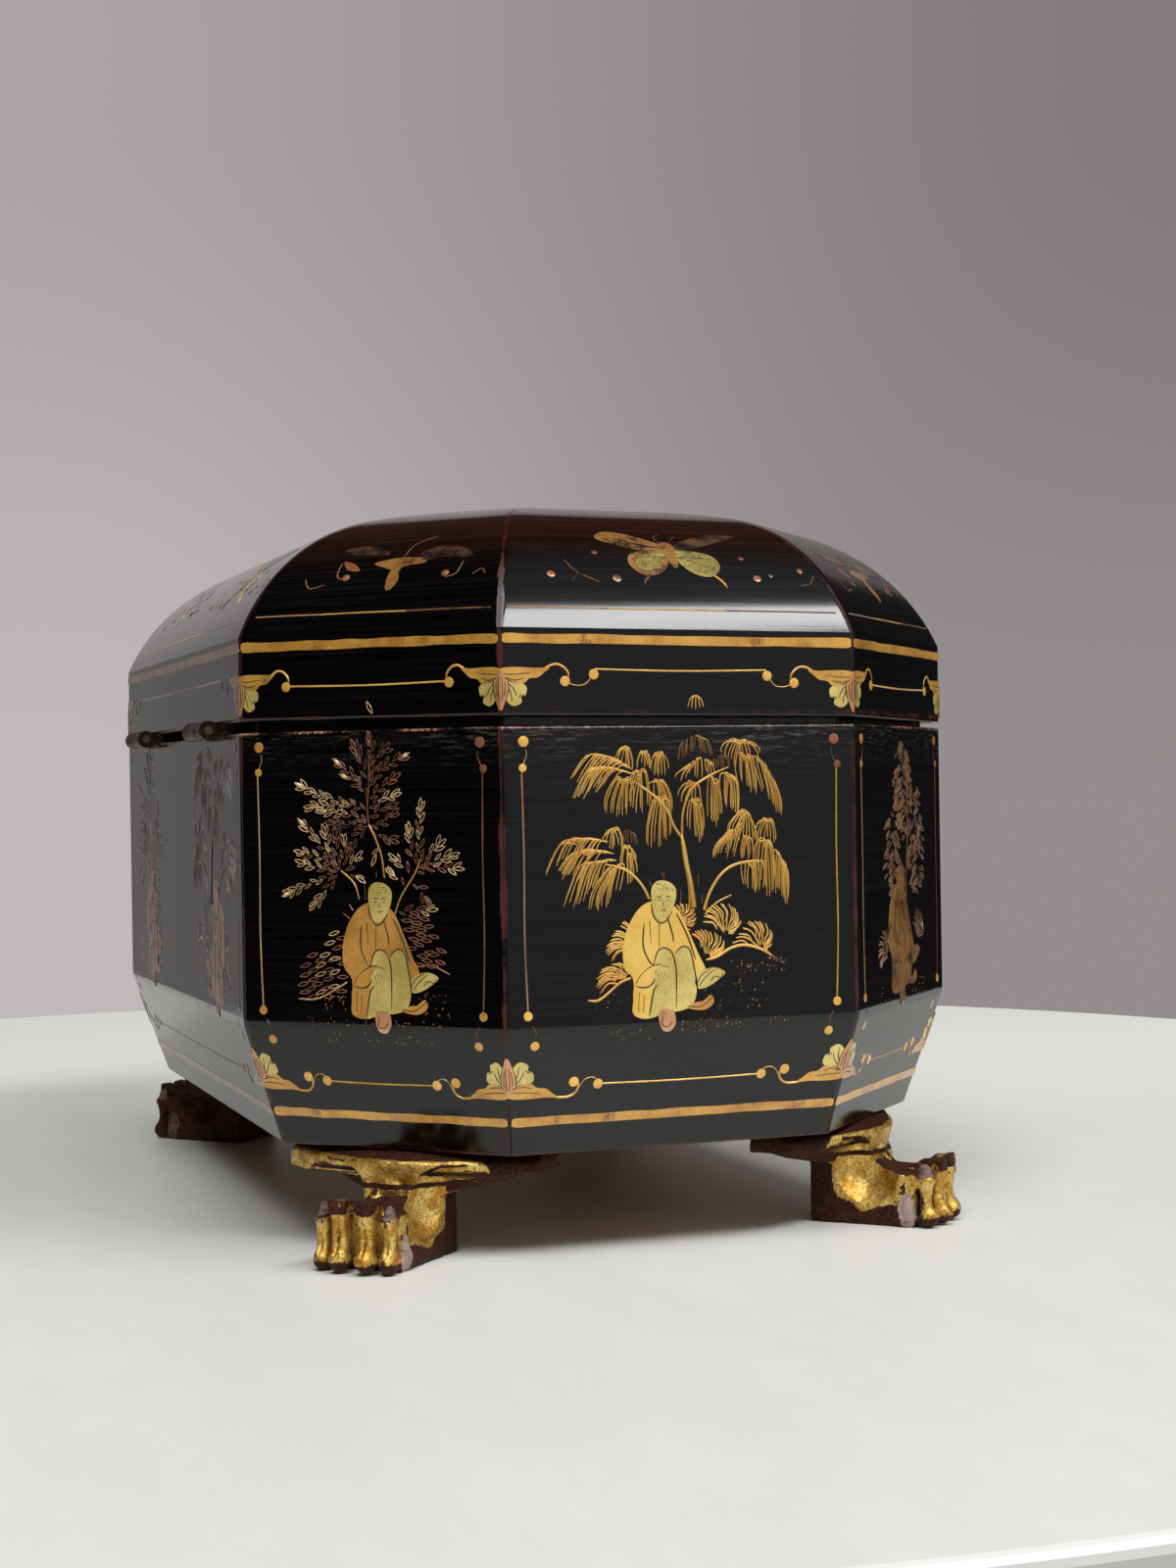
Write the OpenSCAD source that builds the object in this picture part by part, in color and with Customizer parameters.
// Lacquered ink box: an eight-sided case with a tapered foot, a domed lid on two
// butt hinges, four carved paw feet, a box lock, and a lift-out tray of ink tools.
// Millimetres. X is the length, -Y the lock side, +Z up.

/* [Case] */
// Length of the case, left to right
case_l = 203; // [190:1:230]
// Depth of the case, front to back
case_d = 140; // [132:1:160]
// What each corner cuts off the length and the depth
corner_cut = 37; // [32:1:40]
// Height of the case, from its base to its rim
case_h = 74; // [70:1:90]
// Height of the tapered part above the base
waist_h = 22; // [16:1:28]
// How far the taper draws the base in, all round
taper_in = 7.4; // [5:0.2:9]
// Thickness of the upright walls
wall_t = 7; // [6.6:0.2:8]
// Thickness of the wall round the bottom board
seat_t = 6; // [5:0.5:7]
// Thickness of the bottom board
board_t = 5; // [4:0.5:7]
// Width of the shoulder outside the lip
shoulder_w = 3.5; // [3.1:0.1:3.8]
// Height of the lip above the rim
lip_h = 3; // [2:0.2:4]

/* [Lid] */
// Height of the upright skirt of the lid
skirt_h = 15; // [12:0.5:20]
// Radius of the round shoulder of the crown
shoulder_r = 38; // [30:1:42]
// Slope at which the crown leaves the skirt, in degrees
shoulder_slope = 68; // [60:1:75]
// Slope at which the shoulder passes into the flatter top, in degrees
crown_slope = 12; // [9:1:17]
// Thickness of the crown
crown_t = 6; // [4:0.5:7]
// Seam left at the front, where the lid comes closest to the rim
front_gap = 1; // [0.6:0.1:1.6]
// Clearance of the lid round and above the lip
lip_clear = 0.4; // [0.3:0.1:0.8]

/* [Feet] */
// Height of the feet
foot_h = 19; // [16:1:24]
// Length of the bracket under the case
bracket_l = 51; // [40:1:56]
// How far the bracket stands out from the foot of the wall
bracket_out = 2.5; // [1:0.5:4]
// How far the bracket reaches in under the case
bracket_in = 14; // [13:0.5:18]
// Thickness of the bracket at its tips
bracket_tip = 2.4; // [2:0.2:4]
// Thickness of the bracket at the paw
bracket_root = 6.4; // [5.6:0.2:7]
// Width of the paw
paw_w = 16; // [14:0.5:20]
// How far the paw stands out from the foot of the wall
paw_out = 17.5; // [15:0.5:20]
// How far the paw reaches in under the case
paw_in = 9; // [6:0.5:12]
// Height of the knuckles
knuckle_h = 12.5; // [11:0.5:15]
// Depth of the hollow in each side of the paw
scoop_depth = 3; // [1:0.5:4]
// Radius of the dowels
dowel_r = 2; // [1.5:0.25:2.5]
// Distance between the two dowels of a foot
dowel_gap = 16; // [12:1:20]
// Depth of the dowels in the foot and in the bottom board
dowel_depth = 3.5; // [2.5:0.5:3.5]

/* [Hinges] */
// Distance of each hinge from the middle of the case
hinge_x = 36; // [28:1:42]
// Length of a hinge leaf
leaf_l = 30; // [24:1:36]
// Thickness of a hinge leaf
leaf_t = 1; // [0.8:0.1:1.4]
// Space between the closed leaves
leaf_gap = 0.1; // [0.05:0.05:0.3]
// Outer radius of the barrel
barrel_r = 1.8; // [1.5:0.1:2.4]
// Length of the barrel
barrel_l = 18; // [15:1:22]
// Radius of the hinge pin
hinge_pin_r = 0.8; // [0.6:0.1:1]
// Radius of the nails in the leaves
nail_r = 0.5; // [0.4:0.05:0.6]
// Length of the nails
nail_l = 7; // [5:0.5:10]

/* [Lock] */
// Width of the lock case
lock_w = 36; // [32:1:40]
// Height of the lock case, up to the top of the lip
lock_h = 27; // [24:1:32]
// Wood left outside the lock case
lock_in = 2.2; // [1.8:0.1:2.6]
// Thickness of the sheet that the lock is made of
sheet_t = 0.8; // [0.6:0.1:0.9]
// Thickness of the cover and of the top plate
cover_t = 1; // [0.8:0.1:1.2]
// Flange of the cover on each side of the case
flange_w = 3.2; // [3:0.2:4]
// Height of the sliding bolt
bolt_h = 3; // [2:0.5:4]
// Travel of the sliding bolt
bolt_travel = 5.5; // [4:0.5:6]
// Depth of the bolt's underside below the rim
bolt_drop = 8; // [7:0.5:9]
// Thickness of the hook on the lid
hook_t = 1; // [0.8:0.1:1.2]
// Width of the hook
hook_w = 10; // [9:0.5:12]
// Radius of the keyhole
keyhole_r = 1.6; // [1.2:0.1:2]
// Depth of the keyhole below the rim
keyhole_drop = 16; // [14:0.5:17]
// Thickness of the escutcheon
escutcheon_t = 0.8; // [0.5:0.1:1.2]
// Radius of the rounded ends of the escutcheon
escutcheon_r = 7.5; // [6.5:0.5:9]
// Height of the pin heads on the escutcheon
pin_head_h = 0.6; // [0.4:0.1:0.8]
// Radius of the lock's screws
screw_r = 0.65; // [0.5:0.05:0.8]

/* [Tray] */
// Height of the tray
tray_h = 25.5; // [22:0.5:30]
// How far the tray's top lies below the top of the lip
tray_drop = 1.5; // [1:0.5:4]
// Thickness of the tray's walls
tray_t = 3; // [2:0.5:4]
// Thickness of the tray's floor
floor_t = 3; // [2:0.5:4]
// Thickness of the partitions
partition_t = 2.5; // [2:0.5:3]
// Depth of the row for the ink stick
ink_row = 26; // [20:1:28]
// Depth of the row for the brushes
brush_row = 24; // [22:1:26]
// Clearance of the tray in the case
tray_clear = 0.6; // [0.5:0.1:1]
// Radius of the finger notches
notch_r = 10; // [8:0.5:12]
// Width and height of the battens that carry the tray
batten_w = 6; // [5:0.5:8]
// Length of the battens
batten_l = 50; // [40:1:54]

/* [Ink tools] */
// Length of the inkstone
stone_l = 104; // [96:1:106]
// Width of the inkstone
stone_w = 56; // [48:1:57]
// Thickness of the inkstone
stone_t = 16; // [12:1:17]
// Width of the inkstone's rim
stone_rim = 5; // [4:0.5:7]
// Depth of the grinding face below the rim
grind_depth = 2; // [1:0.5:3]
// Depth of the ink pond below the rim
pond_depth = 9; // [6:0.5:10]
// Length of the ink pond
pond_l = 22; // [18:1:26]
// Length and width of the water dropper
dropper_l = 26; // [22:1:28]
// Depth of the water dropper, front to back
dropper_w = 30; // [24:1:32]
// Height of the water dropper
dropper_h = 18; // [14:1:19]
// Wall of the water dropper
dropper_t = 2.4; // [2:0.2:3]
// Length of the ink stick
ink_l = 72; // [60:1:80]
// Width of the ink stick
ink_w = 15; // [12:0.5:18]
// Thickness of the ink stick
ink_t = 8; // [6:0.5:10]
// Length of the brush handles
handle_l = 122; // [110:1:126]
// Radius of the large brush's handle
large_r = 4.2; // [3.6:0.1:4.4]
// Radius of the small brush's handle
small_r = 3.2; // [2.8:0.1:3.4]
// Length of the brush hair that shows
hair_l = 26; // [20:1:28]
// Height of the brushes' axes above the tray's floor
brush_z = 7; // [6.5:0.5:8]
// Thickness of the brush rests
rest_t = 3; // [2:0.5:4]
// Clearance between a tool and what it lies in
tool_clear = 0.2; // [0.1:0.1:0.4]

/* [Hidden] */
$fn = 64;

// Sides are numbered anticlockwise from the front, seen from above
FRONT = 0;
FRONT_RIGHT = 1;
RIGHT = 2;
BACK_RIGHT = 3;
BACK = 4;
BACK_LEFT = 5;
LEFT = 6;
FRONT_LEFT = 7;

half_l = case_l / 2;
half_d = case_d / 2;
corner_reach = (half_l + half_d - corner_cut) / sqrt(2);
seat_in = taper_in + seat_t;
mitre_deep = seat_in + 3;
past = 1;                      // how far a cut runs past the face that it leaves
through_l = 2 * case_l;        // length of a prism before its ends are mitred

function side_reach(k) = k % 2 == 1 ? corner_reach : k % 4 == 0 ? half_d : half_l;

// The plan of the box, drawn in by d all round
function plan(d) =
  let (x = half_l - d, y = half_d - d,
       u = half_l - corner_cut - d * tan(22.5), v = half_d - corner_cut - d * tan(22.5))
  [[u, -y], [x, -v], [x, v], [u, y], [-u, y], [-x, v], [-x, -v], [-u, -y]];

// An outline of inset against height, run along one side of the box
module side_prism(k, outline)
  rotate([0, 0, 45 * k]) translate([0, -side_reach(k), 0])
    rotate([90, 0, 90]) linear_extrude(through_l, center = true) polygon(outline);

// The same, mitred where it meets its neighbours
module mitred(k, outline, low, high) {
  outside = plan(-past);
  inside = plan(mitre_deep);
  before = (k + 7) % 8;
  intersection() {
    side_prism(k, outline);
    translate([0, 0, low]) linear_extrude(high - low)
      polygon([outside[before], outside[k], inside[k], inside[before]]);
  }
}

// A slab with round upright corners, standing on z = 0
module slab(l, w, h, r) {
  translate([-l / 2 + r, -w / 2, 0]) cube([l - 2 * r, w, h]);
  translate([-l / 2, -w / 2 + r, 0]) cube([l, w - 2 * r, h]);
  for (x = [-1, 1], y = [-1, 1])
    translate([x * (l / 2 - r), y * (w / 2 - r), 0]) cylinder(r = r, h = h);
}

// Hinge line and the set of the closed lid
barrel_clear = 0.1;
pin_clear = 0.05;
knuckle_gap = 0.15;
fit_clear = 0.02;
hinge_y = half_d + barrel_r + barrel_clear;
hinge_z = case_h + leaf_t + leaf_gap / 2;
back_gap = 2 * leaf_t + leaf_gap;
lid_z = case_h + back_gap;
lid_tilt = asin((back_gap - front_gap) / (half_d + hinge_y));
knuckle_l = (barrel_l - 2 * knuckle_gap) / 3;

// The box stands on its feet with the middle of its outline over the origin
reach_back = hinge_y + barrel_r;
reach_front = half_d + escutcheon_t + pin_head_h;
middle_y = (reach_back - reach_front) / 2;
module in_case() translate([0, -middle_y, foot_h]) children();
// The lid's pieces are drawn level and drop to the front about the hinge line
module in_lid()
  in_case() translate([0, hinge_y, hinge_z]) rotate([lid_tilt, 0, 0])
    translate([0, -hinge_y, -hinge_z]) children();

// ---- Case ----

wall_outline = [
  [taper_in, 0], [0, waist_h], [0, case_h], [shoulder_w, case_h],
  [shoulder_w, case_h + lip_h], [wall_t, case_h + lip_h], [wall_t, waist_h],
  [seat_in, board_t], [seat_in, 0],
];
module wall(k)
  color("#151110") mitred(k, wall_outline, -past, case_h + lip_h + past);

module bottom_board()
  color("#3a2a20") in_case() difference() {
    linear_extrude(board_t) polygon(plan(seat_in));
    dowel_holes();
  }

module front_wall()
  color("#151110") in_case() difference() {
    wall(FRONT);
    lock_mortise();
    keyhole(half_d + past);
    escutcheon_pin_holes();
  }
module back_wall()
  color("#151110") in_case() difference() {
    wall(BACK);
    for (side = [-1, 1]) translate([side * hinge_x, 0, 0]) case_nails(fit_clear);
  }
module left_wall() in_case() wall(LEFT);
module right_wall() in_case() wall(RIGHT);
module corner_wall_front_left() in_case() wall(FRONT_LEFT);
module corner_wall_front_right() in_case() wall(FRONT_RIGHT);
module corner_wall_back_left() in_case() wall(BACK_LEFT);
module corner_wall_back_right() in_case() wall(BACK_RIGHT);

// Battens glued to the end walls carry the tray
tray_z = case_h + lip_h - tray_drop - tray_h;
module batten(side)
  color("#2a1d16") in_case()
    translate([side * (half_l - wall_t - batten_w / 2), 0, tray_z - batten_w / 2])
      cube([batten_w, batten_l, batten_w], center = true);
module left_batten() batten(-1);
module right_batten() batten(1);

// ---- Feet ----

// Middle of the foot of a corner wall, with +Y turned outwards
module at_corner(k)
  rotate([0, 0, 45 * k]) translate([corner_side(k), -corner_reach + taper_in, 0])
    rotate([0, 0, 180]) children();
// The corner's middle lies off the diagonal because the box is longer than deep
function corner_side(k) =
  (k == FRONT_RIGHT || k == BACK_LEFT ? 1 : -1) * (half_l - half_d) / sqrt(2);

toe_count = 5;
toe_r = 0.6 * paw_w / toe_count;
toe_lean = 0.6;                // how far a toe's foot stands out past its knuckle
toe_arc = 3;                   // how far the outer toes stand back
dowel_s = seat_t + dowel_r + 2; // distance of the dowels in from the foot of the wall
bracket_sag = 8.7;             // how far the bracket's front edge sweeps back to its tips
bracket_r = (pow(bracket_l / 2, 2) + pow(bracket_sag, 2)) / (2 * bracket_sag);
instep_low = 0.74 * knuckle_h;
scoop_r = 9;
knuckle_run = 4.5;             // from the round of the knuckles to the dip of the instep

bracket_front = [
  [-bracket_l / 2, foot_h], [bracket_l / 2, foot_h], [bracket_l / 2, foot_h - bracket_tip],
  [paw_w / 2, foot_h - bracket_root], [-paw_w / 2, foot_h - bracket_root],
  [-bracket_l / 2, foot_h - bracket_tip],
];
toe_s = paw_out - toe_r - toe_lean;
instep_side = [
  [-paw_in, 0], [toe_s, 0], [toe_s, knuckle_h - toe_r], [toe_s - knuckle_run, instep_low],
  [0.42 * paw_out, instep_low + 0.7], [0.24 * paw_out, foot_h - bracket_root - 0.4],
  [bracket_out, foot_h - 0.7 * bracket_root], [bracket_out - 1, foot_h - 0.5 * bracket_root],
  [-paw_in, foot_h - 0.5 * bracket_root],
];

module toe(i) {
  side = (i - (toe_count - 1) / 2) / ((toe_count - 1) / 2);
  x = side * (paw_w / 2 - toe_r);
  back = toe_arc * side * side;
  hull() {
    translate([x, toe_s - back, knuckle_h - toe_r]) sphere(r = toe_r, $fn = 16);
    translate([x, toe_s - back + toe_lean, toe_r]) sphere(r = toe_r, $fn = 16);
  }
}

module foot(k)
  color("#a8792c") translate([0, -middle_y, 0]) at_corner(k) difference() {
    union() {
      intersection() {
        translate([0, bracket_out, 0]) rotate([90, 0, 0])
          linear_extrude(bracket_out + bracket_in) polygon(bracket_front);
        translate([0, bracket_out - bracket_r, 0]) cylinder(r = bracket_r, h = foot_h);
      }
      rotate([90, 0, 90]) linear_extrude(paw_w - toe_r, center = true) polygon(instep_side);
      for (i = [0 : toe_count - 1]) toe(i);
    }
    for (side = [-1, 1])
      translate([side * (paw_w / 2 - toe_r / 2 + scoop_r - scoop_depth), 2, knuckle_h * 0.62])
        sphere(r = scoop_r);
    for (side = [-1, 1])
      translate([side * dowel_gap / 2, -dowel_s, foot_h - dowel_depth])
        cylinder(r = dowel_r + fit_clear, h = dowel_depth + past);
  }
module foot_front_left() foot(FRONT_LEFT);
module foot_front_right() foot(FRONT_RIGHT);
module foot_back_left() foot(BACK_LEFT);
module foot_back_right() foot(BACK_RIGHT);

module each_dowel()
  for (k = [FRONT_RIGHT, BACK_RIGHT, BACK_LEFT, FRONT_LEFT], side = [-1, 1])
    at_corner(k) translate([side * dowel_gap / 2, -dowel_s, 0]) children();
module dowel_holes()
  each_dowel() translate([0, 0, -past]) cylinder(r = dowel_r + fit_clear, h = dowel_depth + past);
module foot_dowels()
  color("#8a6a45") in_case() each_dowel()
    translate([0, 0, -dowel_depth]) cylinder(r = dowel_r, h = 2 * dowel_depth);

// ---- Hinges ----

leaf_w = shoulder_w - 0.2;
nail_head_r = 2 * nail_r;
nail_head_h = 0.4;
nail_margin = 3;               // from the end of a leaf to its outer nail
nail_span = leaf_l - 2 * nail_margin;

// A nail whose flush head lies at z = 0 and whose shank runs down
module nail(extra) {
  translate([0, 0, -nail_l]) cylinder(r = nail_r + extra, h = nail_l);
  translate([0, 0, -nail_head_h - extra])
    cylinder(r = nail_head_r + extra, h = nail_head_h + extra);
}
module nail_row()
  for (x = [-0.5, 0, 0.5])
    translate([x * nail_span, half_d - leaf_w / 2, 0]) children();
module case_nails(extra)
  nail_row() translate([0, 0, case_h + leaf_t]) nail(extra);
module lid_nails(extra)
  nail_row() translate([0, 0, lid_z - leaf_t]) mirror([0, 0, 1]) nail(extra);

module barrel(x, l)
  translate([x - l / 2, hinge_y, hinge_z]) rotate([0, 90, 0]) cylinder(r = barrel_r, h = l);
module web(x, l, z)
  translate([x - l / 2, half_d - leaf_w, z]) cube([l, hinge_y - half_d + leaf_w, leaf_t]);
module plate(z)
  translate([-leaf_l / 2, half_d - leaf_w, z]) cube([leaf_l, leaf_w, leaf_t]);
module pin_bore()
  translate([-barrel_l, hinge_y, hinge_z]) rotate([0, 90, 0])
    cylinder(r = hinge_pin_r + pin_clear, h = 2 * barrel_l);

module case_leaf(side)
  color("#5a4a2c") in_case() translate([side * hinge_x, 0, 0]) difference() {
    union() {
      plate(case_h);
      for (x = [-1, 1]) {
        barrel(x * (knuckle_l + knuckle_gap), knuckle_l);
        web(x * (knuckle_l + knuckle_gap), knuckle_l, case_h);
      }
    }
    pin_bore();
    case_nails(fit_clear);
  }
module lid_leaf(side)
  color("#5a4a2c") in_lid() translate([side * hinge_x, 0, 0]) difference() {
    union() {
      plate(lid_z - leaf_t);
      barrel(0, knuckle_l);
      web(0, knuckle_l, lid_z - leaf_t);
    }
    pin_bore();
    lid_nails(fit_clear);
  }
module hinge_pin(side)
  color("#7a6a4a") in_case() translate([side * hinge_x - barrel_l / 2, hinge_y, hinge_z])
    rotate([0, 90, 0]) cylinder(r = hinge_pin_r, h = barrel_l);
module hinge_left_case_leaf() case_leaf(-1);
module hinge_right_case_leaf() case_leaf(1);
module hinge_left_lid_leaf() lid_leaf(-1);
module hinge_right_lid_leaf() lid_leaf(1);
module hinge_left_pin() hinge_pin(-1);
module hinge_right_pin() hinge_pin(1);
module hinge_case_nails()
  color("#6a5a3a") in_case()
    for (side = [-1, 1]) translate([side * hinge_x, 0, 0]) case_nails(0);
module hinge_lid_nails()
  color("#6a5a3a") in_lid()
    for (side = [-1, 1]) translate([side * hinge_x, 0, 0]) lid_nails(0);

// ---- Lock ----

// Places in the lock are given as inset from the front face and height above the base
module inset_box(x0, x1, in0, in1, z0, z1)
  translate([x0, -half_d + in0, z0]) cube([x1 - x0, in1 - in0, z1 - z0]);

lock_clear = 0.1;
lock_top = case_h + lip_h;
lock_low = lock_top - lock_h;
neck_low = case_h - 1;         // wood is left over the body of the lock, under the shoulder
neck_in = shoulder_w + lock_clear;
cover_in = wall_t - cover_t;
cover_top = lock_top - cover_t;
cover_w = lock_w + 2 * flange_w;
front_drop = (hinge_y + half_d - wall_t) * sin(lid_tilt);

// The hook hangs in the middle of its slot
slot_front = 0.7;              // the hook swings forward as the lid starts to rise
slot_back = 0.3;
hook_back = cover_in - slot_back;
hook_in = hook_back - hook_t;
slot_side = 1;
bolt_clear = 0.05;
bolt_z = case_h - bolt_drop;
keyhole_z = case_h - keyhole_drop;
toe_h = 2.2;
toe_clear = 0.5;
toe_top = bolt_z - toe_clear;
bolt_tip = -hook_w / 2 - 1.2;
bolt_end_clear = 2.2;          // left between the thrown bolt and the hook's stem
hook_stem = bolt_tip + bolt_travel + bolt_end_clear;
bolt_l = lock_w / 2 - sheet_t - 0.6 + bolt_tip;
bolt_in = lock_in + sheet_t + 0.3;
ledge_h = 1.4;
slot_length = 5;               // the keyhole's slot, below its round part

module keyhole(front)
  translate([0, -front, keyhole_z]) rotate([-90, 0, 0]) {
    cylinder(r = keyhole_r, h = front - half_d + lock_in + sheet_t + past);
    translate([-keyhole_r / 2, 0, 0])
      cube([keyhole_r, slot_length, front - half_d + lock_in + sheet_t + past]);
  }

module lock_mortise() {
  w = lock_w / 2 + lock_clear;
  inset_box(-w, w, lock_in - lock_clear, wall_t + past, lock_low - lock_clear, neck_low);
  inset_box(-w, w, neck_in - lock_clear, wall_t + past, neck_low - past, lock_top + past);
  c = cover_w / 2 + lock_clear;
  inset_box(-c, c, cover_in, wall_t + past, lock_low - lock_clear, lock_top + past);
  each_lock_screw() screw(fit_clear);
}

module lock_case()
  color("#b08d4f") in_case() difference() {
    w = lock_w / 2;
    union() {
      inset_box(-w, w, lock_in, cover_in, lock_low, neck_low - lock_clear);
      inset_box(-w, w, neck_in, cover_in, neck_low - past, cover_top);
      inset_box(-w, w, neck_in, wall_t, cover_top, lock_top);
    }
    difference() {
      inset_box(-w + sheet_t, w - sheet_t, lock_in + sheet_t, cover_in + past,
                lock_low + sheet_t, neck_low - sheet_t);
      // Ledges that guide the bolt
      inset_box(-w, bolt_tip - 0.4, lock_in, cover_in, bolt_z - bolt_clear - ledge_h,
                bolt_z - bolt_clear);
      inset_box(-w, bolt_tip - 0.4, lock_in, cover_in, bolt_z + bolt_h + bolt_clear,
                bolt_z + bolt_h + bolt_clear + ledge_h);
    }
    inset_box(-hook_w / 2 - slot_side, hook_w / 2 + slot_side, hook_in - slot_front,
              cover_in, neck_low - 2 * past, lock_top + past);
    inset_box(-hook_w / 2 - slot_side, hook_w / 2 + slot_side, hook_in - slot_front,
              cover_in + past, neck_low - 2 * past, cover_top);
    keyhole(half_d);
  }

// A screw in the cover, its head flush with the face that looks inwards
screw_l = 3.2;
screw_head_r = 2 * screw_r;
screw_head_h = 0.5;
module screw(extra) rotate([90, 0, 0]) {
  cylinder(r = screw_r + extra, h = screw_l);
  translate([0, 0, -extra]) cylinder(r = screw_head_r + extra, h = screw_head_h + extra);
}
lower_screw_up = 4;            // above the bottom of the lock case
upper_screw_down = 7;          // below the top of the lip
module each_lock_screw()
  for (x = [-1, 1], z = [lock_low + lower_screw_up, lock_top - upper_screw_down])
    translate([x * (lock_w / 2 + flange_w / 2), -half_d + wall_t, z]) children();
module lock_screws() color("#8f7440") in_case() each_lock_screw() screw(0);

key_post_r = 0.7;
module lock_cover()
  color("#b08d4f") in_case() difference() {
    union() {
      inset_box(-cover_w / 2, cover_w / 2, cover_in, wall_t, lock_low, cover_top);
      translate([0, -half_d + lock_in + sheet_t + 0.4, keyhole_z]) rotate([-90, 0, 0])
        cylinder(r = key_post_r, h = cover_in - lock_in - sheet_t);
    }
    each_lock_screw() screw(fit_clear);
  }

module lock_bolt()
  color("#c9a24f") in_case()
    inset_box(bolt_tip - bolt_l, bolt_tip, bolt_in, cover_in - 0.1, bolt_z, bolt_z + bolt_h);

// Catch on the lid, drawn with the lid level
catch_z = lid_z + lip_h + lip_clear;
catch_w = 26;
catch_screw_in = 3;            // from the end of the catch plate to its screw
catch_back = cover_in + 0.8;
catch_in = shoulder_w + 0.3;
module each_catch_screw()
  for (x = [-1, 1])
    translate([x * (catch_w / 2 - catch_screw_in), -half_d + (catch_in + catch_back) / 2, catch_z])
      rotate([-90, 0, 0]) children();
module catch_plate(extra)
  inset_box(-catch_w / 2 - extra, catch_w / 2 + extra, catch_in - extra, catch_back + extra,
            catch_z - extra, catch_z + cover_t);
module lock_catch()
  color("#b08d4f") in_lid() difference() {
    toe_low = toe_top + front_drop - toe_h;
    union() {
      catch_plate(0);
      inset_box(hook_stem, hook_w / 2, hook_in, hook_back, toe_low, catch_z + cover_t);
      inset_box(-hook_w / 2, hook_w / 2, hook_in, hook_back, toe_low, toe_low + toe_h);
    }
    each_catch_screw() screw(fit_clear);
  }
module catch_screws() color("#8f7440") in_lid() each_catch_screw() screw(0);

escutcheon_drop = 6;
module escutcheon_plate(h)
  for (z = [0, -escutcheon_drop])
    translate([0, 0, z]) rotate([90, 0, 0]) cylinder(r = escutcheon_r, h = h);
escutcheon_top = keyhole_z + escutcheon_drop / 2 - slot_length / 2 + 0.5;
module each_escutcheon_pin()
  for (x = [-1, 1])
    translate([x * (escutcheon_r - 2.2), -half_d, escutcheon_top - escutcheon_drop / 2])
      rotate([90, 0, 0]) children();
escutcheon_pin_r = 0.45;
escutcheon_pin_l = 1.7;
module escutcheon_pin_holes()
  each_escutcheon_pin()
    translate([0, 0, -escutcheon_pin_l]) cylinder(
      r = escutcheon_pin_r + fit_clear, h = escutcheon_pin_l + escutcheon_t + past);
module escutcheon()
  color("#c39a4a") in_case() difference() {
    union() {
      translate([0, -half_d, escutcheon_top]) escutcheon_plate(escutcheon_t);
      inset_box(-escutcheon_r, escutcheon_r, -escutcheon_t, 0,
                escutcheon_top - escutcheon_drop, escutcheon_top);
    }
    keyhole(half_d + 2 * past);
    escutcheon_pin_holes();
  }
module escutcheon_pins()
  color("#c39a4a") in_case() each_escutcheon_pin() {
    translate([0, 0, -escutcheon_pin_l + 0.1])
      cylinder(r = escutcheon_pin_r, h = escutcheon_pin_l + escutcheon_t);
    translate([0, 0, escutcheon_t]) cylinder(r = 2.2 * escutcheon_pin_r, h = pin_head_h);
  }

// ---- Lid ----

rebate_w = shoulder_w - lip_clear;
rail_outline = [
  [0, lid_z], [0, lid_z + skirt_h], [wall_t, lid_z + skirt_h],
  [wall_t, lid_z + lip_h + lip_clear], [rebate_w, lid_z + lip_h + lip_clear],
  [rebate_w, lid_z],
];
module rail(k)
  color("#151110") mitred(k, rail_outline, lid_z - past, lid_z + skirt_h + past);

module lid_front_rail()
  color("#151110") in_lid() difference() {
    rail(FRONT);
    catch_plate(fit_clear);
    each_catch_screw() screw(fit_clear);
  }
module lid_back_rail()
  color("#151110") in_lid() difference() {
    rail(BACK);
    for (side = [-1, 1]) translate([side * hinge_x, 0, 0]) lid_nails(fit_clear);
  }
module lid_left_rail() in_lid() rail(LEFT);
module lid_right_rail() in_lid() rail(RIGHT);
module lid_corner_rail_front_left() in_lid() rail(FRONT_LEFT);
module lid_corner_rail_front_right() in_lid() rail(FRONT_RIGHT);
module lid_corner_rail_back_left() in_lid() rail(BACK_LEFT);
module lid_corner_rail_back_right() in_lid() rail(BACK_RIGHT);

// Curve of the crown: a round shoulder, then a flatter arc that ends level over the middle.
// Each point is [inset, height over the skirt], set t inside the outer face.
shoulder_run = shoulder_r * (sin(shoulder_slope) - sin(crown_slope));
shoulder_rise = shoulder_r * (cos(crown_slope) - cos(shoulder_slope));
crown_r = (half_d - shoulder_run) / sin(crown_slope);
shoulder_steps = 10;
crown_steps = 5;
function shoulder_point(a, t) = [
  shoulder_r * (sin(shoulder_slope) - sin(a)) + t * sin(a),
  shoulder_r * (cos(a) - cos(shoulder_slope)) - t * cos(a),
];
function crown_point(a, t) = [
  shoulder_run + crown_r * (sin(crown_slope) - sin(a)) + t * sin(a),
  shoulder_rise + crown_r * (cos(a) - cos(crown_slope)) - t * cos(a),
];
function crown_curve(t) = concat(
  [for (i = [0 : shoulder_steps])
    shoulder_point(shoulder_slope + (crown_slope - shoulder_slope) * i / shoulder_steps, t)],
  [for (i = [1 : crown_steps]) crown_point(crown_slope * (1 - i / crown_steps), t)]);
function both_ways(curve, reach) = concat(
  curve, [for (i = [len(curve) - 1 : -1 : 0]) [2 * reach - curve[i][0], curve[i][1]]]);

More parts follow.
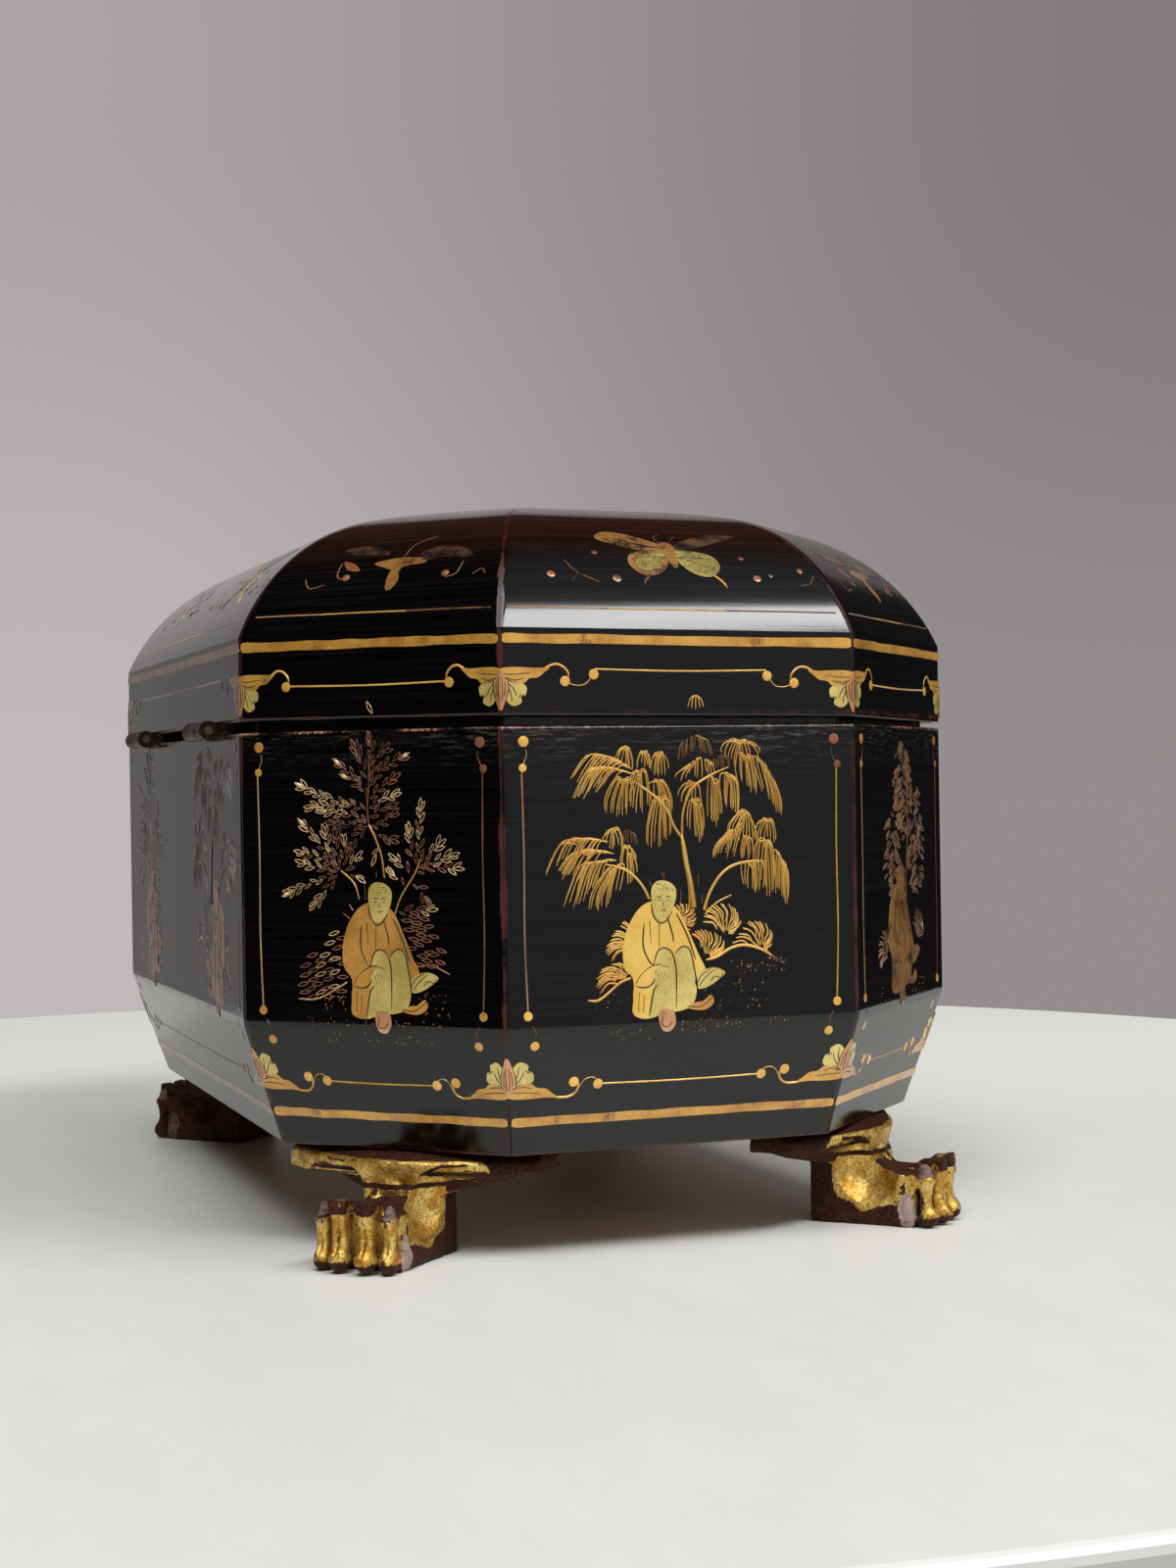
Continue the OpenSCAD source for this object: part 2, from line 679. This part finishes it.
module crown_form(t)
  intersection() {
    side_prism(FRONT, both_ways(crown_curve(t), half_d));
    side_prism(FRONT_RIGHT, both_ways(crown_curve(t), corner_reach));
    side_prism(RIGHT, both_ways(crown_curve(t), half_l));
    side_prism(BACK_RIGHT, both_ways(crown_curve(t), corner_reach));
  }
module lid_crown()
  color("#151110") in_lid() translate([0, 0, lid_z + skirt_h]) difference() {
    crown_form(0);
    intersection() {
      crown_form(crown_t);
      translate([0, 0, -case_h]) linear_extrude(2 * case_h) polygon(plan(wall_t));
    }
  }

// ---- Tray ----

tray_in = wall_t + tray_clear;
floor_z = tray_z + floor_t;
tray_top = tray_z + tray_h;
inner_in = tray_in + tray_t;
inner_d = half_d - inner_in;
module tray_wall(k)
  color("#2a1612") mitred(k, [[tray_in, floor_z], [tray_in, tray_top],
                              [inner_in, tray_top], [inner_in, floor_z]],
                          tray_z - past, tray_top + past);
module tray_floor()
  color("#2a1612") in_case()
    translate([0, 0, tray_z]) linear_extrude(floor_t) polygon(plan(tray_in));
module tray_front_wall() in_case() tray_wall(FRONT);
module tray_back_wall() in_case() tray_wall(BACK);

// Rows from the front: ink stick, brushes, inkstone
ink_row_y = -inner_d + ink_row / 2;
ink_partition_y = -inner_d + ink_row;
brush_row_y = ink_partition_y + partition_t + brush_row / 2;
stone_partition_y = brush_row_y + brush_row / 2;
stone_row_y = stone_partition_y + partition_t;

// The finger notches lie just behind the stone's partition, where the laden tray balances
notch_side = 1;
notch_y = stone_row_y + notch_r + notch_side;
module notched_tray_wall(k)
  color("#2a1612") in_case() difference() {
    tray_wall(k);
    translate([-case_l, notch_y, tray_top]) rotate([0, 90, 0])
      cylinder(r = notch_r, h = 2 * case_l);
  }
module tray_left_wall() notched_tray_wall(LEFT);
module tray_right_wall() notched_tray_wall(RIGHT);
module tray_corner_walls()
  in_case() for (k = [FRONT_RIGHT, BACK_RIGHT, BACK_LEFT, FRONT_LEFT]) tray_wall(k);
partition_drop = 3;            // partitions stop short of the tray's top
module partition(x0, x1, y0, y1)
  color("#2a1612") in_case() intersection() {
    translate([x0, y0, floor_z]) cube([x1 - x0, y1 - y0, tray_h - floor_t - partition_drop]);
    translate([0, 0, tray_z]) linear_extrude(tray_h) polygon(plan(inner_in));
  }
module ink_partition()
  partition(-half_l, half_l, ink_partition_y, ink_partition_y + partition_t);
module stone_partition()
  partition(-half_l, half_l, stone_partition_y, stone_partition_y + partition_t);
stone_side = 1.5;
module cross_partitions()
  for (side = [-1, 1]) {
    x = side * (stone_l / 2 + stone_side + partition_t / 2);
    partition(x - partition_t / 2, x + partition_t / 2, stone_row_y, inner_d);
  }

brush_gap = 11;
large_y = brush_row_y - brush_gap / 2;
small_y = brush_row_y + brush_gap / 2;
rest_x = 40;
rest_over = 2;                 // how far a rest stands above the brushes' axes
module brush_rests()
  color("#2a1612") in_case() for (x = [-rest_x, rest_x]) difference() {
    translate([x - rest_t / 2, brush_row_y - brush_row / 2, floor_z])
      cube([rest_t, brush_row, brush_z + rest_over]);
    for (b = [[large_y, large_r], [small_y, small_r]]) {
      r = b[1] + tool_clear;
      translate([x - rest_t, b[0], floor_z + brush_z]) rotate([0, 90, 0])
        cylinder(r = r, h = 2 * rest_t);
      translate([x - rest_t, b[0] - r, floor_z + brush_z]) cube([2 * rest_t, 2 * r, brush_z]);
    }
  }

// ---- Ink tools ----

stone_corner_r = 4;
stone_y = (stone_row_y + inner_d) / 2;
module inkstone()
  color("#34343a") in_case() translate([0, stone_y, floor_z]) difference() {
    slab(stone_l, stone_w, stone_t, stone_corner_r);
    translate([0, 0, stone_t - grind_depth])
      slab(stone_l - 2 * stone_rim, stone_w - 2 * stone_rim, grind_depth + past, stone_corner_r);
    translate([stone_l / 2 - stone_rim - pond_l / 2, 0, stone_t - pond_depth])
      slab(pond_l, stone_w - 2 * stone_rim, pond_depth + past, stone_corner_r);
  }

// A hollow porcelain vessel with a filling hole on top and a spout hole at one corner
dropper_x = (stone_l / 2 + stone_side + partition_t + half_l - inner_in) / 2;
dropper_y = stone_row_y + dropper_w / 2 + 3;
dropper_corner_r = 4;
dropper_hole_r = 1.3;
module water_dropper()
  color("#e8e6df") in_case() translate([dropper_x, dropper_y, floor_z]) difference() {
    slab(dropper_l, dropper_w, dropper_h, dropper_corner_r);
    translate([0, 0, dropper_t])
      slab(dropper_l - 2 * dropper_t, dropper_w - 2 * dropper_t, dropper_h - 2 * dropper_t,
           dropper_corner_r - dropper_t);
    translate([0, 0, dropper_h - 2 * dropper_t])
      cylinder(r = dropper_hole_r, h = 2 * dropper_t + past);
    translate([-dropper_l / 3.5, -dropper_w / 3.5, dropper_h - 2 * dropper_t])
      cylinder(r = dropper_hole_r, h = 2 * dropper_t + past);
  }

ink_x = -15;
ink_corner_r = 2;
module ink_stick()
  color("#1a1a1e") in_case() translate([ink_x, ink_row_y, floor_z])
    slab(ink_l, ink_w, ink_t, ink_corner_r);

// Brushes lie along X, with their hair to the right
brush_left = -(handle_l + hair_l) / 2;
socket_l = 8;
socket_wall = 1;
module brush_at(y) in_case() translate([brush_left, y, floor_z + brush_z]) rotate([0, 90, 0]) children();
module brush_handle(y, r)
  color("#b99a62") brush_at(y) difference() {
    cylinder(r = r, h = handle_l);
    translate([0, 0, handle_l - socket_l]) cylinder(r = r - socket_wall, h = socket_l + past);
  }
module brush_hair(y, r)
  color("#cdbfa3") brush_at(y) translate([0, 0, handle_l]) rotate_extrude() polygon([
    [0, -socket_l], [r - socket_wall, -socket_l], [r - socket_wall, 0],
    [r - 0.4, 0.25 * hair_l], [0.75 * r, 0.5 * hair_l], [0.35 * r, 0.8 * hair_l], [0, hair_l],
  ]);
module large_brush_handle() brush_handle(large_y, large_r);
module large_brush_hair() brush_hair(large_y, large_r);
module small_brush_handle() brush_handle(small_y, small_r);
module small_brush_hair() brush_hair(small_y, small_r);

bottom_board();
front_wall();
back_wall();
left_wall();
right_wall();
corner_wall_front_left();
corner_wall_front_right();
corner_wall_back_left();
corner_wall_back_right();
left_batten();
right_batten();
foot_front_left();
foot_front_right();
foot_back_left();
foot_back_right();
foot_dowels();
hinge_left_case_leaf();
hinge_right_case_leaf();
hinge_left_lid_leaf();
hinge_right_lid_leaf();
hinge_left_pin();
hinge_right_pin();
hinge_case_nails();
hinge_lid_nails();
lock_case();
lock_cover();
lock_screws();
lock_bolt();
lock_catch();
catch_screws();
escutcheon();
escutcheon_pins();
lid_front_rail();
lid_back_rail();
lid_left_rail();
lid_right_rail();
lid_corner_rail_front_left();
lid_corner_rail_front_right();
lid_corner_rail_back_left();
lid_corner_rail_back_right();
lid_crown();
tray_floor();
tray_front_wall();
tray_back_wall();
tray_left_wall();
tray_right_wall();
tray_corner_walls();
stone_partition();
ink_partition();
cross_partitions();
brush_rests();
inkstone();
water_dropper();
ink_stick();
large_brush_handle();
large_brush_hair();
small_brush_handle();
small_brush_hair();
